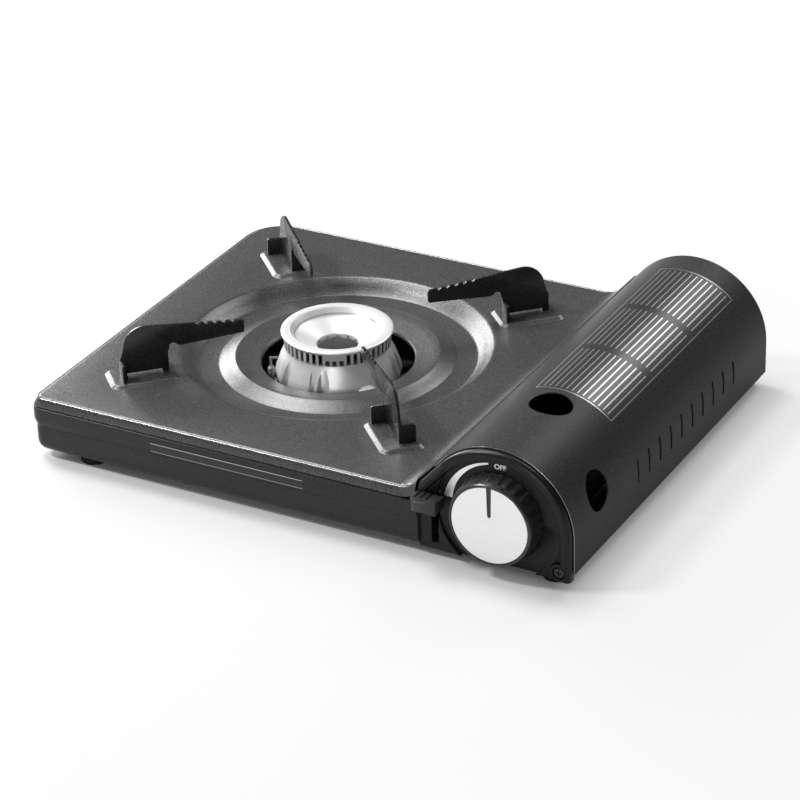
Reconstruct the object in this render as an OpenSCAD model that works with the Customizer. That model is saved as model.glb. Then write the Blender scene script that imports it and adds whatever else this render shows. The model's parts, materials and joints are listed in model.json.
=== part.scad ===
// Butane cassette stove: a low pressed-steel case with a removable hob plate, a slotted
// cast burner, four folded pot supports, and a hinged arched cover over the cartridge bay.
// +X runs from the burner to the bay, -Y is the front with the knob, +Z is up, and the
// origin is at the middle of the footprint, on the ground.

/* [Body] */
// Width over the case's left bulge and the cover's right wall
body_w = 345; // [338:1:362]
// Depth of the case over its front and back bulges
body_d = 268; // [262:1:290]
// Height of the hob plate's flat top above the ground
plate_z = 38.7; // [37.5:0.1:42]
// Thickness of the pressed steel sheets
sheet = 0.8; // [0.6:0.1:1]
// How far the case wall bulges out past the hob plate's edge bead
bulge = 3.4; // [2.8:0.1:4]
// Plan radius of the hob plate's two corners at the front
front_corner_r = 5; // [5:0.5:10]
// Plan radius of the hob plate's corner at the back left
rear_corner_r = 24; // [12:1:28]
// Height of the rubber feet, and so of the case floor above the ground
foot_h = 4; // [3:0.5:6]
// Radius of a rubber foot
foot_r = 8.4; // [6:0.2:9]

/* [Hob plate and burner] */
// Place of the burner's axis, left of the middle of the stove
burner_left = 43.9; // [41:0.1:46]
// Radius where the drip trough starts to slope down from the flat plate
trough_r = 93.7; // [92:0.1:95]
// Outer radius of the trough's flat floor
trough_floor_r = 79.8; // [78:0.2:82]
// Depth of the trough's floor below the plate
trough_depth = 8.5; // [7:0.5:9.5]
// Radius of the raised crest round the burner hole
crest_r = 60; // [58:0.5:62]
// Radius of the burner hole in the plate
burner_hole_r = 45; // [43.5:0.5:47]
// Outer radius of the burner cap's rim
burner_r = 33.1; // [31:0.1:34]
// Height of the burner cap's rim above the ground
burner_top = 50.3; // [50:0.1:52]
// Number of flame slots round the burner cap
flame_slots = 48; // [36:2:56]

/* [Pot supports] */
// Distance from the burner's axis to the tip of a pot support
support_tip_r = 55.7; // [52:0.1:60]
// Distance from the burner's axis to a pot support's outer ear
support_out_r = 130; // [127:0.5:131]
// Height of a pot support's highest edge
support_top = 70.5; // [68:0.5:74]
// Thickness of the pot supports' sheet
support_t = 1.6; // [1.2:0.1:2]
// Number of grip notches near the tip of each pot support
grip_notches = 5; // [3:1:6]

/* [Cartridge bay and cover] */
// Outer radius of the cover's arch
cover_r = 45.6; // [45:0.1:46.4]
// Height of the cover's highest line
cover_top = 74.5; // [74:0.1:76]
// Slope of the plate's raised edge, which the cover carries on
slope_a = 48; // [46:0.5:50]
// Depth of the cover, from its front edge to its back edge
cover_len = 258; // [254:1:259]
// Number of vent slots low on the cover's side
vent_slots = 10; // [6:1:11]
// Radius of the cover's two round sight holes
sight_r = 12.2; // [8:0.2:13]
// Radius of the butane cartridge that the bay takes
cartridge_r = 33; // [32:0.1:33.2]
// Length of the cartridge from its valve collar to its base
cartridge_len = 187; // [184:1:188]

/* [Controls] */
// Height of the knob's axis above the ground
knob_z = 34; // [33:0.5:36]
// Radius of the knob at its back
knob_r = 26.7; // [25:0.1:27]
// How far the knob stands out of the panel's well
knob_h = 11.4; // [10:0.2:14]
// Number of flutes round the knob
knob_flutes = 28; // [20:1:32]
// Radius of the knob's shaft
shaft_r = 3; // [2.5:0.1:3.4]
// How far the lock lever's pad stands in front of the case
lever_reach = 11.5; // [10.5:0.5:13]
// Angle through which the lock lever turns
lever_swing = 31; // [24:1:31]
// Width of the slot that the lock lever runs in
lever_slot_w = 4.4; // [4.2:0.1:5]

/* [Hidden] */
$fn = 64;

// Clearances
run_gap = 0.05;      // radial gap of a pin or shaft that turns
seat_gap = 0.3;      // gap between pieces that rest on each other
free_gap = 0.6;      // gap between edges that pass each other

// Body frame
x_left = -body_w / 2;
x_right = body_w / 2;
x_bead = x_left + bulge;
y_mid = lever_reach / 2;
y_front = y_mid - body_d / 2;
y_back = y_mid + body_d / 2;
y_bead_f = y_front + bulge;
y_bead_b = y_back - bulge;
floor_z = foot_h;
floor_top = floor_z + sheet;

// Cartridge bay
x_can = x_right - 44.4;
x_arch = x_right - cover_r;
arch_z = cover_top - cover_r;
can_z = floor_top + 1.2 + cartridge_r;
cover_y0 = y_bead_f + 2.1;
cover_y1 = cover_y0 + cover_len;
slope_dir = [cos(slope_a), sin(slope_a)];     // up the slope
slope_out = [-sin(slope_a), cos(slope_a)];    // square to it
slope_top = [x_arch, arch_z] + cover_r * slope_out;
slope_foot = slope_top - slope_dir * (slope_top[1] - plate_z) / sin(slope_a);
fillet_r = 12;                                // hollow at the foot of the slope
x_fillet = slope_foot[0] - fillet_r * tan(slope_a / 2);
seam = slope_foot + slope_dir * 16.2 / sin(slope_a);
seam_w = 1;                                   // width of the seam below the cover's edge
rim_end_x = x_fillet + 10;                    // where the plate's rim ends, by the front frame
cover_skirt_z = 8.6;                          // lower edge of the cover's right wall
hinge_at = seam + 2.5 * slope_dir - 3 * slope_out;
hinge_x = hinge_at[0];
hinge_z = hinge_at[1];
hinge_pin_r = 1;
hinge_ear_r = 1.85;
hinge_ear_w = 5;
hinge_ys = [y_mid - 76, y_mid + 92];
hinge_sweep_r = 4.35;                         // room for the cover's edge as it turns

// Case wall
case_top_z = plate_z - 2.5;                   // upper edge of the bulged wall
wall_top_z = plate_z - sheet - seat_gap;
shoulder_z = plate_z - 5.8;
partition_x = x_fillet + 3.4;

// Burner
x_burner = -burner_left;
ring_z = plate_z - trough_depth;
crest_z = ring_z + 4;
hole_z = crest_z - 3.2;
burner_base_z = floor_top + 7.2;
port_z0 = burner_top - 9.6;                   // flame slots, lower and upper edge
port_z1 = burner_top - 2.7;
tube_z = burner_base_z + 8.05;
tube_r = 7;
jet_r = 3.5;

// Controls
panel_y = y_bead_f - 0.8;                     // front face of the control panel
panel_t = 3.9;
well_r = 37;
well_depth = 2;
wall_y = panel_y + panel_t + 0.1;             // front face of the case's front wall
knob_back_y = panel_y + well_depth - free_gap;
knob_face_y = knob_back_y - knob_h;
knob_face_r = knob_r - 2.1;
disc_r = knob_face_r - 1.5;
disc_t = 0.8;
slot_x = x_right - 82.5;                      // plane of the lock lever
lever_t = 2;
pivot_y = wall_y + 23.9;
pivot_z = floor_z + 21.5;
pivot_r = 2;
link_arm = 13;                                // from the lever's pivot to its link pin
link_r = 1.5;
slot_z0 = 8.8;
slot_z1 = 40;
strip_x = slot_x - 5;                         // plane of the carrier's strip
strip_t = 1.2;
strip_z = pivot_z + link_arm * cos(lever_swing / 2) - 5;
strip_h = 10;
pad_w0 = 9.6;                                 // pad width to the left and right of the slot
pad_w1 = 6.8;
wall_end_x = slot_x - pad_w0 - 0.5;           // where the bulged wall gives way to the panel

// Governor and cartridge socket
socket_y = y_mid - 86;                        // where the cartridge's collar seats
governor_y0 = wall_y + 10.5;
governor_y1 = socket_y - 7;
governor_r = 17;
bore_r = 5.05;
plate_gap_y = governor_y1 + seat_gap;
inlet_x = x_can - governor_r + 3;             // where the gas pipe enters the governor
inlet_y = governor_y0 + 11.55;

// Mixing tube and gas pipe, on one line from the burner to the governor
tube_dir = atan2(inlet_y - y_mid, inlet_x - x_burner);
partition_s = (partition_x - x_burner) / cos(tube_dir);
pipe_end = (inlet_x - x_burner) / cos(tube_dir);
tube_start = burner_r + 0.9;
tube_end = partition_s - 21.8;
carrier_travel = 2 * link_arm * sin(lever_swing / 2);
pusher_y = socket_y + cartridge_len + carrier_travel + seat_gap;

// Points of an arc about c, from angle a0 to a1
function arc(c, r, a0, a1, n = 8) =
    [for (i = [0:n]) c + r * [cos(a0 + (a1 - a0) * i / n), sin(a0 + (a1 - a0) * i / n)]];

function unit(v) = v / norm(v);
function left_of(v) = [-v[1], v[0]];

// The same line moved sideways by t, with mitred corners
function offset_line(p, t) = [
    for (i = [0:len(p) - 1])
        let (
            a = i > 0 ? left_of(unit(p[i] - p[i - 1])) : left_of(unit(p[1] - p[0])),
            b = i < len(p) - 1 ? left_of(unit(p[i + 1] - p[i])) : a,
            m = a + b
        )
        p[i] + m * 2 * t / (m * m)
];

function reversed(p) = [for (i = [len(p) - 1:-1:0]) p[i]];

// A sheet of thickness t that follows a line
function sheet_outline(p, t) = concat(p, reversed(offset_line(p, t)));

// Draws a profile as (outward, up) along the front, left and back of the hob
module along_edges(x_end, r_front, r_back) {
    x0 = x_bead;
    translate([x0 + r_front, y_bead_f, 0])
        rotate([90, 0, 90]) linear_extrude(x_end - x0 - r_front) mirror([1, 0]) children();
    translate([x0 + r_front, y_bead_f + r_front, 0])
        rotate([0, 0, 180]) rotate_extrude(angle = 90) translate([r_front, 0]) children();
    translate([x0, y_bead_b - r_back, 0])
        rotate([90, 0, 0]) linear_extrude(y_bead_b - y_bead_f - r_front - r_back)
            mirror([1, 0]) children();
    translate([x0 + r_back, y_bead_b - r_back, 0])
        rotate([0, 0, 90]) rotate_extrude(angle = 90) translate([r_back, 0]) children();
    translate([x0 + r_back, y_bead_b, 0])
        rotate([90, 0, 90]) linear_extrude(x_end - x0 - r_back) children();
}

// Plan outline of the hob side, moved out by e from the bead line
module hob_plan(e, x_end, r_front, r_back) {
    difference() {
        union() {
            translate([x_bead + r_front, y_bead_f - e])
                square([x_end - x_bead - r_front, y_bead_b - y_bead_f + 2 * e]);
            translate([x_bead - e, y_bead_f + r_front])
                square([r_front + e + 1, y_bead_b - y_bead_f - r_front - r_back]);
            translate([x_bead + r_front, y_bead_f + r_front]) circle(r_front + e);
            translate([x_bead + r_back, y_bead_b - r_back]) circle(r_back + e);
            translate([x_bead + r_back, y_bead_b - r_back]) square([1, r_back + e]);
        }
        translate([x_bead - e - 1, y_bead_b - r_back])
            difference() {
                square([r_back + e + 1, r_back + e + 1]);
                translate([r_back + e + 1, 0]) circle(r_back + e);
            }
    }
}

// A rounded slot of length l and width w, along X
module slot2d(l, w) {
    square([l - w, w], center = true);
    for (s = [-1, 1]) translate([s * (l - w) / 2, 0]) circle(w / 2);
}

// Places children on the front wall plane: X stays, 2D y becomes Z, thickness runs to +Y
module on_front(y) {
    translate([0, y, 0]) rotate([90, 0, 0]) mirror([0, 0, 1]) children();
}

// ---------- case ----------

// Outer line of the bulged wall, from its top inside the plate's rim to the floor
function wall_line() = concat(
    [[-0.1, case_top_z], [-0.1, shoulder_z]],
    arc([bulge - 1.5, shoulder_z - 1.5], 1.5, 90, 0, 6),
    arc([bulge - 10, 26.5], 10, 0, -33, 6),
    [[bulge - 1.2, 19.2], [bulge - 1.2, floor_z + 8]],
    arc([bulge - 8.2, floor_z + 7], 7, 0, -90, 8)
);

module wall_profile() {
    polygon(sheet_outline(wall_line(), -sheet));
}

// End plates of the bulged wall, beside the bay
module wall_ends() {
    cap = concat(wall_line(), [[-7.5, floor_z], [-7.5, case_top_z]]);
    translate([wall_end_x - sheet, y_bead_f, 0])
        rotate([90, 0, 90]) linear_extrude(sheet) mirror([1, 0]) polygon(cap);
    translate([wall_end_x - sheet, y_bead_b, 0])
        rotate([90, 0, 90]) linear_extrude(sheet) polygon(cap);
}

bay_x1 = x_right - 3.2;                       // right wall of the case, inside the cover
bay_y1 = y_bead_b - 1.2;
bay_wall_z = 21;

module floor_vents() {
    for (i = [0:7])
        translate([x_burner, y_mid, floor_z - 1]) rotate([0, 0, 22.5 + 45 * i])
            translate([52, 0, 0]) linear_extrude(sheet + 2) slot2d(26, 5);
    for (i = [0:4])
        translate([x_can, y_mid - 60 + 30 * i, floor_z - 1])
            linear_extrude(sheet + 2) slot2d(22, 4);
}

module foot_places() {
    for (x = [x_left + 34.5, x_right - 14.5], y = [y_mid - 120, y_mid + 120])
        translate([x, y, 0]) children();
}

module lower_case() color([0.10, 0.10, 0.105]) {
    difference() {
        union() {
            along_edges(wall_end_x, front_corner_r, rear_corner_r) wall_profile();
            wall_ends();
            translate([0, 0, floor_z]) linear_extrude(sheet)
                hob_plan(bulge - 7.9, wall_end_x, front_corner_r, rear_corner_r);
            translate([wall_end_x - 1, wall_y, floor_z])
                cube([bay_x1 - wall_end_x + 1, bay_y1 - wall_y, sheet]);
            translate([bay_x1 - sheet, wall_y, floor_z])
                cube([sheet, bay_y1 - wall_y, bay_wall_z - floor_z]);
            translate([wall_end_x - sheet, wall_y, floor_z])
                cube([bay_x1 - wall_end_x + sheet, sheet, plate_z - 1 - floor_z]);
            translate([wall_end_x - sheet, bay_y1 - sheet, floor_z])
                cube([bay_x1 - wall_end_x + sheet, sheet, bay_wall_z - floor_z]);
        }
        floor_vents();
        foot_places() translate([0, 0, floor_z - 1]) cylinder(r = 3, h = sheet + 2);
        translate([x_can, wall_y - 1, knob_z]) rotate([-90, 0, 0])
            cylinder(r = shaft_r + 1, h = sheet + 2);
        translate([slot_x, wall_y - 1, 0]) rotate([-90, 0, 0])
            linear_extrude(sheet + 2) translate([-lever_slot_w / 2, -slot_z1])
                square([lever_slot_w, slot_z1 - slot_z0]);
        translate([screw_x, wall_y - 1, screw_z]) rotate([-90, 0, 0])
            cylinder(r = 1.6, h = sheet + 2);
        screw_places() translate([0, 0, -sheet - 1.6]) cylinder(r = 1.5, h = sheet + 2);
    }
}

// Arch outline that the panels fit, moved in by t from the cover's outside
module arch2d(t, x0, z0) {
    top = slope_top - t * slope_out;
    polygon(concat(
        [[x0, z0], [x0, top[1] - (top[0] - x0) * tan(slope_a)]],
        arc([x_arch, arch_z], cover_r - t, 90 + slope_a, 0, 36),
        [[x_right - t, z0]]
    ));
}

module rear_panel() color([0.10, 0.10, 0.105]) {
    y0 = cover_y1 - 4.6;
    difference() {
        on_front(y0) linear_extrude(1.2)
            arch2d(sheet + free_gap, wall_end_x + 1, floor_top);
        translate([bay_x1 - sheet - seat_gap, y0 - 1, 0]) cube([20, 4, bay_wall_z + seat_gap]);
        on_front(y0 - 1) linear_extrude(4) for (i = [-1:1])
            translate([x_can + 18 * i, arch_z + 12]) rotate(90) slot2d(16, 3);
        on_front(y0 - 1) linear_extrude(4) translate(hinge_at) circle(hinge_sweep_r);
    }
    translate([wall_end_x + 1, y0 - 9, floor_top])
        cube([x_right - 28 - wall_end_x, 9.1, 1]);
}

module partition() color([0.62, 0.63, 0.64]) {
    y0 = y_bead_f + 5.5;
    y1 = y_bead_b - 5.5;
    difference() {
        union() {
            translate([partition_x, y0, floor_top]) cube([sheet, y1 - y0, wall_top_z - floor_top]);
            translate([partition_x - 8, y0 + 6, wall_top_z - sheet])
                cube([8.1, y1 - y0 - 12, sheet]);
            translate([partition_x - 10, y0 + 6, floor_top]) cube([10.1, y1 - y0 - 12, sheet]);
        }
        translate([x_burner, y_mid, tube_z]) rotate([0, 0, tube_dir])
            translate([partition_s - 12, 0, 0]) rotate([0, 90, 0])
                cylinder(r = jet_r + 1.2, h = 24);
        translate([partition_x - 11, y_mid - 21, floor_top - 1]) cube([14, 42, 3]);
        for (i = [0:6]) translate([partition_x - 1, y_mid - 30 + 18 * i, 22])
            rotate([90, 0, 90]) linear_extrude(sheet + 2) slot2d(11, 3.4);
        translate([partition_x - 1, lead_hole_y, floor_top + 3]) rotate([0, 90, 0])
            cylinder(r = 1.9, h = sheet + 2);
        screw_places() translate([0, 0, -1.2]) cylinder(r = 1.5, h = sheet + 2);
    }
}

module feet() color([0.05, 0.05, 0.05]) foot_places() {
    cylinder(r1 = foot_r - 0.6, r2 = foot_r, h = 1.2);
    translate([0, 0, 1.2]) cylinder(r = foot_r, h = foot_h - 1.2);
    cylinder(r = 3 - run_gap, h = floor_top + 0.1);
    translate([0, 0, floor_top]) cylinder(r1 = 4.2, r2 = 3.2, h = 1.8);
}

module screw_places() {
    for (y = [y_mid - 100, y_mid - 40, y_mid + 40, y_mid + 100])
        translate([partition_x - 5, y, floor_top + sheet]) children();
}

module case_screws() color([0.70, 0.70, 0.72]) screw_places() {
    difference() {
        union() {
            cylinder(r = 2.8, h = 1.1);
            translate([0, 0, 1.1]) cylinder(r1 = 2.8, r2 = 1.8, h = 0.7);
        }
        for (a = [0, 90]) rotate([0, 0, a]) translate([-1.7, -0.35, 0.9]) cube([3.4, 0.7, 1.5]);
    }
    translate([0, 0, -2.6]) cylinder(r = 1.45, h = 2.7);
}

// ---------- hob plate ----------

// Rolled bead and turned-down rim at the plate's edge
function rim_line() = concat(
    [[-4, plate_z]],
    arc([-1.7, plate_z - 2.5], 2.5, 90, 25, 5),
    [[2.9, shoulder_z + 0.75]]
);

// The plate's round drip trough: down to a flat ring, up to a crest, and into the hole
function trough_line() = concat(
    [[trough_r + 2, plate_z]],
    arc([trough_r, plate_z - 6], 6, 90, 118, 3),
    arc([trough_floor_r + 1, ring_z + 4], 4, 298, 270, 3),
    arc([70.5, ring_z + 2.5], 2.5, 270, 233, 3),
    arc([crest_r, crest_z - 1.6], 1.6, 53, 100, 4),
    arc([burner_hole_r + 1.8, hole_z - 1.8], 1.8, 90, 180, 3),
    [[burner_hole_r, hole_z - 2.4]]
);

module support_places(i) {
    translate([x_burner, y_mid, 0]) rotate([0, 0, 45 + 90 * i]) children();
}

pad_h = 1.4;
pad_in = 98.5;
pad_out = 136;

module top_plate() color([0.11, 0.11, 0.115]) {
    difference() {
        union() {
            along_edges(x_fillet, front_corner_r, rear_corner_r)
                polygon(sheet_outline(rim_line(), -sheet));
            translate([0, 0, plate_z - sheet]) linear_extrude(sheet) difference() {
                hob_plan(-3.5, x_fillet + 0.01, front_corner_r, rear_corner_r);
                translate([x_burner, y_mid]) circle(trough_r + 1);
            }
            translate([x_burner, y_mid, 0]) rotate_extrude()
                polygon(sheet_outline(trough_line(), sheet));
            turned_up_edge();
            for (i = [0:3]) support_places(i)
                translate([(pad_in + pad_out) / 2, 0, plate_z - 0.01])
                    pad_solid();
        }
        for (i = [0:3]) support_places(i)
            translate([(pad_in + pad_out) / 2, 0, plate_z - sheet - 0.01]) pad_solid();
        for (s = [0, 1]) translate([rim_end_x, s * 2 * y_mid, 0]) mirror([0, s, 0])
            translate([0, y_bead_f - 10, plate_z - 20]) cube([40, 12.1, 60]);
    }
}

module pad_solid() {
    l = pad_out - pad_in;
    w = 23;
    r = 4;
    for (sx = [-1, 1], sy = [-1, 1])
        translate([sx * (l / 2 - r), sy * (w / 2 - r), 0])
            cylinder(r1 = r, r2 = r - pad_h, h = pad_h, $fn = 24);
    translate([-(l / 2 - r), 0, 0]) rotate([90, 0, 90]) linear_extrude(l - 2 * r)
        polygon([[-w / 2, 0], [w / 2, 0], [w / 2 - pad_h, pad_h], [-w / 2 + pad_h, pad_h]]);
    translate([0, -(w / 2 - r), 0]) rotate([90, 0, 180]) linear_extrude(w - 2 * r)
        polygon([[-l / 2, 0], [l / 2, 0], [l / 2 - pad_h, pad_h], [-l / 2 + pad_h, pad_h]]);
}

// The plate's section across its depth, as (depth, distance down from the bend's centre)
function section_line(c_z) = concat(
    [for (q = reversed(rim_line())) [c_z - q[1], y_bead_f - q[0]]],
    [for (q = rim_line()) [c_z - q[1], y_bead_b + q[0]]]
);

// The plate's right edge curves up to meet the cover, and its rim follows
module turned_up_edge() {
    c_z = plate_z + fillet_r;
    rise = norm(seam - slope_foot) - fillet_r * tan(slope_a / 2) - seam_w;
    translate([x_fillet, 0, c_z]) {
        rotate([-90, 0, 0]) rotate([0, 0, 90 - slope_a]) rotate_extrude(angle = slope_a)
            polygon(sheet_outline(section_line(c_z), sheet));
        rotate([0, -slope_a, 0]) rotate([0, 90, 0]) linear_extrude(rise)
            polygon(sheet_outline(section_line(c_z), sheet));
    }
}

// ---------- pot supports ----------

ear_z1 = 51;
ear_w = 8.2;
ear_corner_r = 1.5;
post_in_r = 101.3;

// Side view of a pot support, as (distance from the burner's axis, height)
module support_side() {
    top_slope = 0.094;
    tip_z1 = support_top - top_slope * (support_out_r - 16 - support_tip_r);
    tip_z0 = tip_z1 - 7.9;
    seat_z = plate_z + pad_h;
    difference() {
        polygon(concat(
            arc([support_tip_r + 0.8, tip_z0 + 0.8], 0.8, 270, 180, 3),
            arc([support_tip_r + 0.8, tip_z1 - 0.8], 0.8, 180, 90, 3),
            arc([support_out_r - 15.5, support_top - 13], 13, 95, 5, 10),
            [[support_out_r - 1, ear_z1 + 2], [support_out_r, ear_z1],
             [support_out_r, seat_z], [support_out_r - 4, seat_z],
             [support_out_r - 4, seat_z + 2], [post_in_r + 4, seat_z + 2],
             [post_in_r + 4, seat_z], [post_in_r, seat_z], [post_in_r, ear_z1 + 1.6]],
            arc([post_in_r - 3.2, ear_z1 + 4], 2.4, -20, 160, 8),
            [[post_in_r - 8, tip_z0 - 2.0]]
        ));
        for (i = [0:grip_notches - 1])
            translate([support_tip_r + 6.7 + 5.2 * i, tip_z1 + top_slope * (6.7 + 5.2 * i)])
                rotate(25) square([2.2, 2.2], center = true);
    }
}

module pot_support(i) {
    seat_z = plate_z + pad_h;
    support_places(i) {
        translate([0, support_t / 2, 0]) rotate([90, 0, 0]) linear_extrude(support_t)
            support_side();
        translate([support_out_r - support_t, -support_t / 2, seat_z])
            ear(ear_z1 - seat_z);
        translate([post_in_r + support_t, support_t / 2, seat_z])
            rotate([0, 0, 180]) ear(ear_z1 - seat_z);
    }
}

// A foot ear folded square to the plate, with its outer top corner rounded
module ear(h) {
    rotate([90, 0, 90]) linear_extrude(support_t) difference() {
        square([ear_w + support_t, h]);
        translate([ear_w + support_t - ear_corner_r, h - ear_corner_r]) difference() {
            square(ear_corner_r + 1);
            circle(ear_corner_r);
        }
    }
}

module pot_support_front_left() color([0.06, 0.06, 0.06]) pot_support(2);
module pot_support_front_right() color([0.06, 0.06, 0.06]) pot_support(3);
module pot_support_back_left() color([0.06, 0.06, 0.06]) pot_support(1);
module pot_support_back_right() color([0.06, 0.06, 0.06]) pot_support(0);

// ---------- burner ----------

module burner_bracket() color([0.62, 0.63, 0.64]) {
    h = burner_base_z - floor_top;
    translate([x_burner - 30, y_mid - 17, floor_top]) {
        difference() {
            translate([0, 0, h - 1]) cube([60, 34, 1]);
            translate([30, 17, h - 2]) cylinder(r = 2.1, h = 3);
        }
        for (x = [0, 59]) translate([x, 0, 0]) cube([1, 34, h]);
        translate([-8, 4, 0]) cube([9, 26, 1]);
        translate([59, 4, 0]) cube([9, 26, 1]);
    }
}

// Hollows down each side of the casting: angle from the mixing tube, and radius
body_hollows = [[41, 4.5], [52.5, 2], [85, 3.4], [128, 5]];

// The casting flares from the flame slots down to a wide foot, with lobes round it
module burner_body() color([0.80, 0.80, 0.81]) {
    top_z = port_z0 - 0.4;
    wide_r = burner_r + 4.2;
    difference() {
        union() {
            translate([x_burner, y_mid, 0]) rotate_extrude() polygon([
                [0, burner_base_z], [24, burner_base_z], [30, burner_base_z + 4],
                [wide_r - 0.4, burner_base_z + 10], [wide_r, burner_base_z + 12],
                [wide_r - 0.8, burner_base_z + 15], [wide_r - 3.4, burner_base_z + 22],
                [burner_r - 1.9, top_z - 1], [burner_r - 2.2, top_z], [0, top_z]
            ]);
            translate([x_burner, y_mid, tube_z]) rotate([0, 0, tube_dir])
                rotate([0, 90, 0]) cylinder(r = tube_r + 1, h = burner_hole_r - 3);
        }
        translate([x_burner, y_mid, burner_base_z + 3])
            cylinder(r = burner_r - 7.1, h = top_z);
        translate([x_burner, y_mid, tube_z]) rotate([0, 0, tube_dir])
            translate([20, 0, 0]) rotate([0, 90, 0]) cylinder(r = tube_r + run_gap, h = 40);
        for (h = body_hollows, s = [-1, 1]) translate([x_burner, y_mid, 0])
            rotate([0, 0, tube_dir + s * h[0]])
                translate([wide_r + h[1] - 2.9, 0, burner_base_z + 14]) rotate([0, -11, 0])
                    translate([0, 0, -12]) cylinder(r = h[1], h = 30);
        translate([x_burner, y_mid, burner_base_z - 1]) cylinder(r = 2.05, h = 6);
    }
}

// A skirt of flame slots, three of them short, below a rolled rim and an open cone
module burner_cap() color([0.88, 0.88, 0.89]) {
    z0 = port_z0 - 0.4;
    slot_r = burner_r - 1.3;
    slot_step = 360 / flame_slots;
    slot_w = 2.2 * slot_r * sin(slot_step / 2) * 0.53;
    short_slots_a = 296.25;
    translate([x_burner, y_mid, 0]) difference() {
        rotate_extrude() polygon(concat(
            [[burner_r - 7.3, z0 - 3], [burner_r - 7.3, z0], [slot_r - 0.6, z0],
             [slot_r - 0.4, port_z0 - 0.2], [slot_r, port_z1 + 0.2]],
            arc([burner_r - 0.9, burner_top - 1.2], 0.9, -60, 60, 4),
            [[burner_r - 1.4, burner_top], [burner_r - 4.9, burner_top - 0.2]],
            arc([burner_r - 5.2, burner_top - 0.8], 0.5, 60, 150, 3),
            [[24.2, burner_top - 4.7], [23.2, burner_top - 5.2], [12.6, burner_top - 10.2],
             [12.2, burner_top - 11], [12.2, z0 - 3]]
        ));
        for (i = [0:flame_slots - 1])
            let (a = slot_step * (i + 0.5), short = abs(a - short_slots_a) < 1.6 * slot_step)
            rotate([0, 0, a]) translate([slot_r - 4.2, -slot_w / 2, port_z0])
                cube([8, slot_w, (port_z1 - port_z0) * (short ? 0.48 : 1)]);
        for (i = [0:11]) rotate([0, 0, 30 * i])
            translate([10, -0.8, z0 - 3.5]) cube([6, 1.6, 2.2]);
    }
}

module burner_screw() color([0.70, 0.70, 0.72]) translate([x_burner, y_mid, 0]) {
    translate([0, 0, burner_base_z + 3]) cylinder(r = 4.5, h = 3);
    translate([0, 0, burner_base_z - 0.5]) cylinder(r = 2, h = 4);
}

module mixing_tube() color([0.66, 0.66, 0.67])
    translate([x_burner, y_mid, tube_z]) rotate([0, 0, tube_dir]) rotate([0, 90, 0])
        rotate_extrude() polygon([
            [tube_r - 1, tube_start], [tube_r, tube_start], [tube_r, tube_end - 10],
            [tube_r + 2.6, tube_end], [tube_r + 1.6, tube_end], [tube_r - 1, tube_end - 10]
        ]);

// The jet stands in the mixing tube's mouth, on the end of the gas pipe
module gas_jet() color([0.72, 0.58, 0.30])
    translate([x_burner, y_mid, tube_z]) rotate([0, 0, tube_dir]) rotate([0, 90, 0])
        difference() {
            union() {
                translate([0, 0, tube_end - 2]) cylinder(r1 = 1.6, r2 = jet_r, h = 4);
                translate([0, 0, tube_end + 2]) cylinder(r = jet_r, h = 5);
                translate([0, 0, tube_end + 7]) cylinder(r = jet_r + 1, h = 4, $fn = 6);
            }
            translate([0, 0, tube_end - 3]) cylinder(r = 0.6, h = 20, $fn = 16);
        }

module gas_pipe() color([0.60, 0.60, 0.62])
    translate([x_burner, y_mid, tube_z]) rotate([0, 0, tube_dir]) rotate([0, 90, 0])
        translate([0, 0, tube_end + 11]) difference() {
            cylinder(r = 2.4, h = pipe_end - tube_end - 11);
            translate([0, 0, -1]) cylinder(r = 1.5, h = pipe_end - tube_end - 11);
        }

electrode_a = 219;
electrode_r = 40;

module spark_electrode() color([0.90, 0.89, 0.85])
    translate([x_burner, y_mid, 0]) rotate([0, 0, electrode_a])
        translate([electrode_r, 0, 0]) {
            translate([0, 0, 13]) cylinder(r = 2, h = 15.5);
            translate([0, 0, 28.5]) cylinder(r1 = 2, r2 = 0.9, h = 1.4);
            translate([0, 0, 29.8]) cylinder(r = 0.7, h = 5.7);
            translate([0, 0, 34.8]) rotate([0, -90, 0]) cylinder(r = 0.7, h = 4.2);
            translate([0, 0, 9]) cylinder(r = 1.2, h = 4.1);
        }

module electrode_bracket() color([0.62, 0.63, 0.64])
    translate([x_burner, y_mid, 0]) rotate([0, 0, electrode_a]) difference() {
        union() {
            translate([36, -4, floor_top]) cube([14, 8, 1]);
            translate([47, -4, floor_top]) cube([1, 8, 15]);
            translate([37, -4, floor_top + 14]) cube([11, 8, 1]);
        }
        translate([electrode_r, 0, floor_top]) cylinder(r = 2 + run_gap, h = 20);
    }

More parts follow.
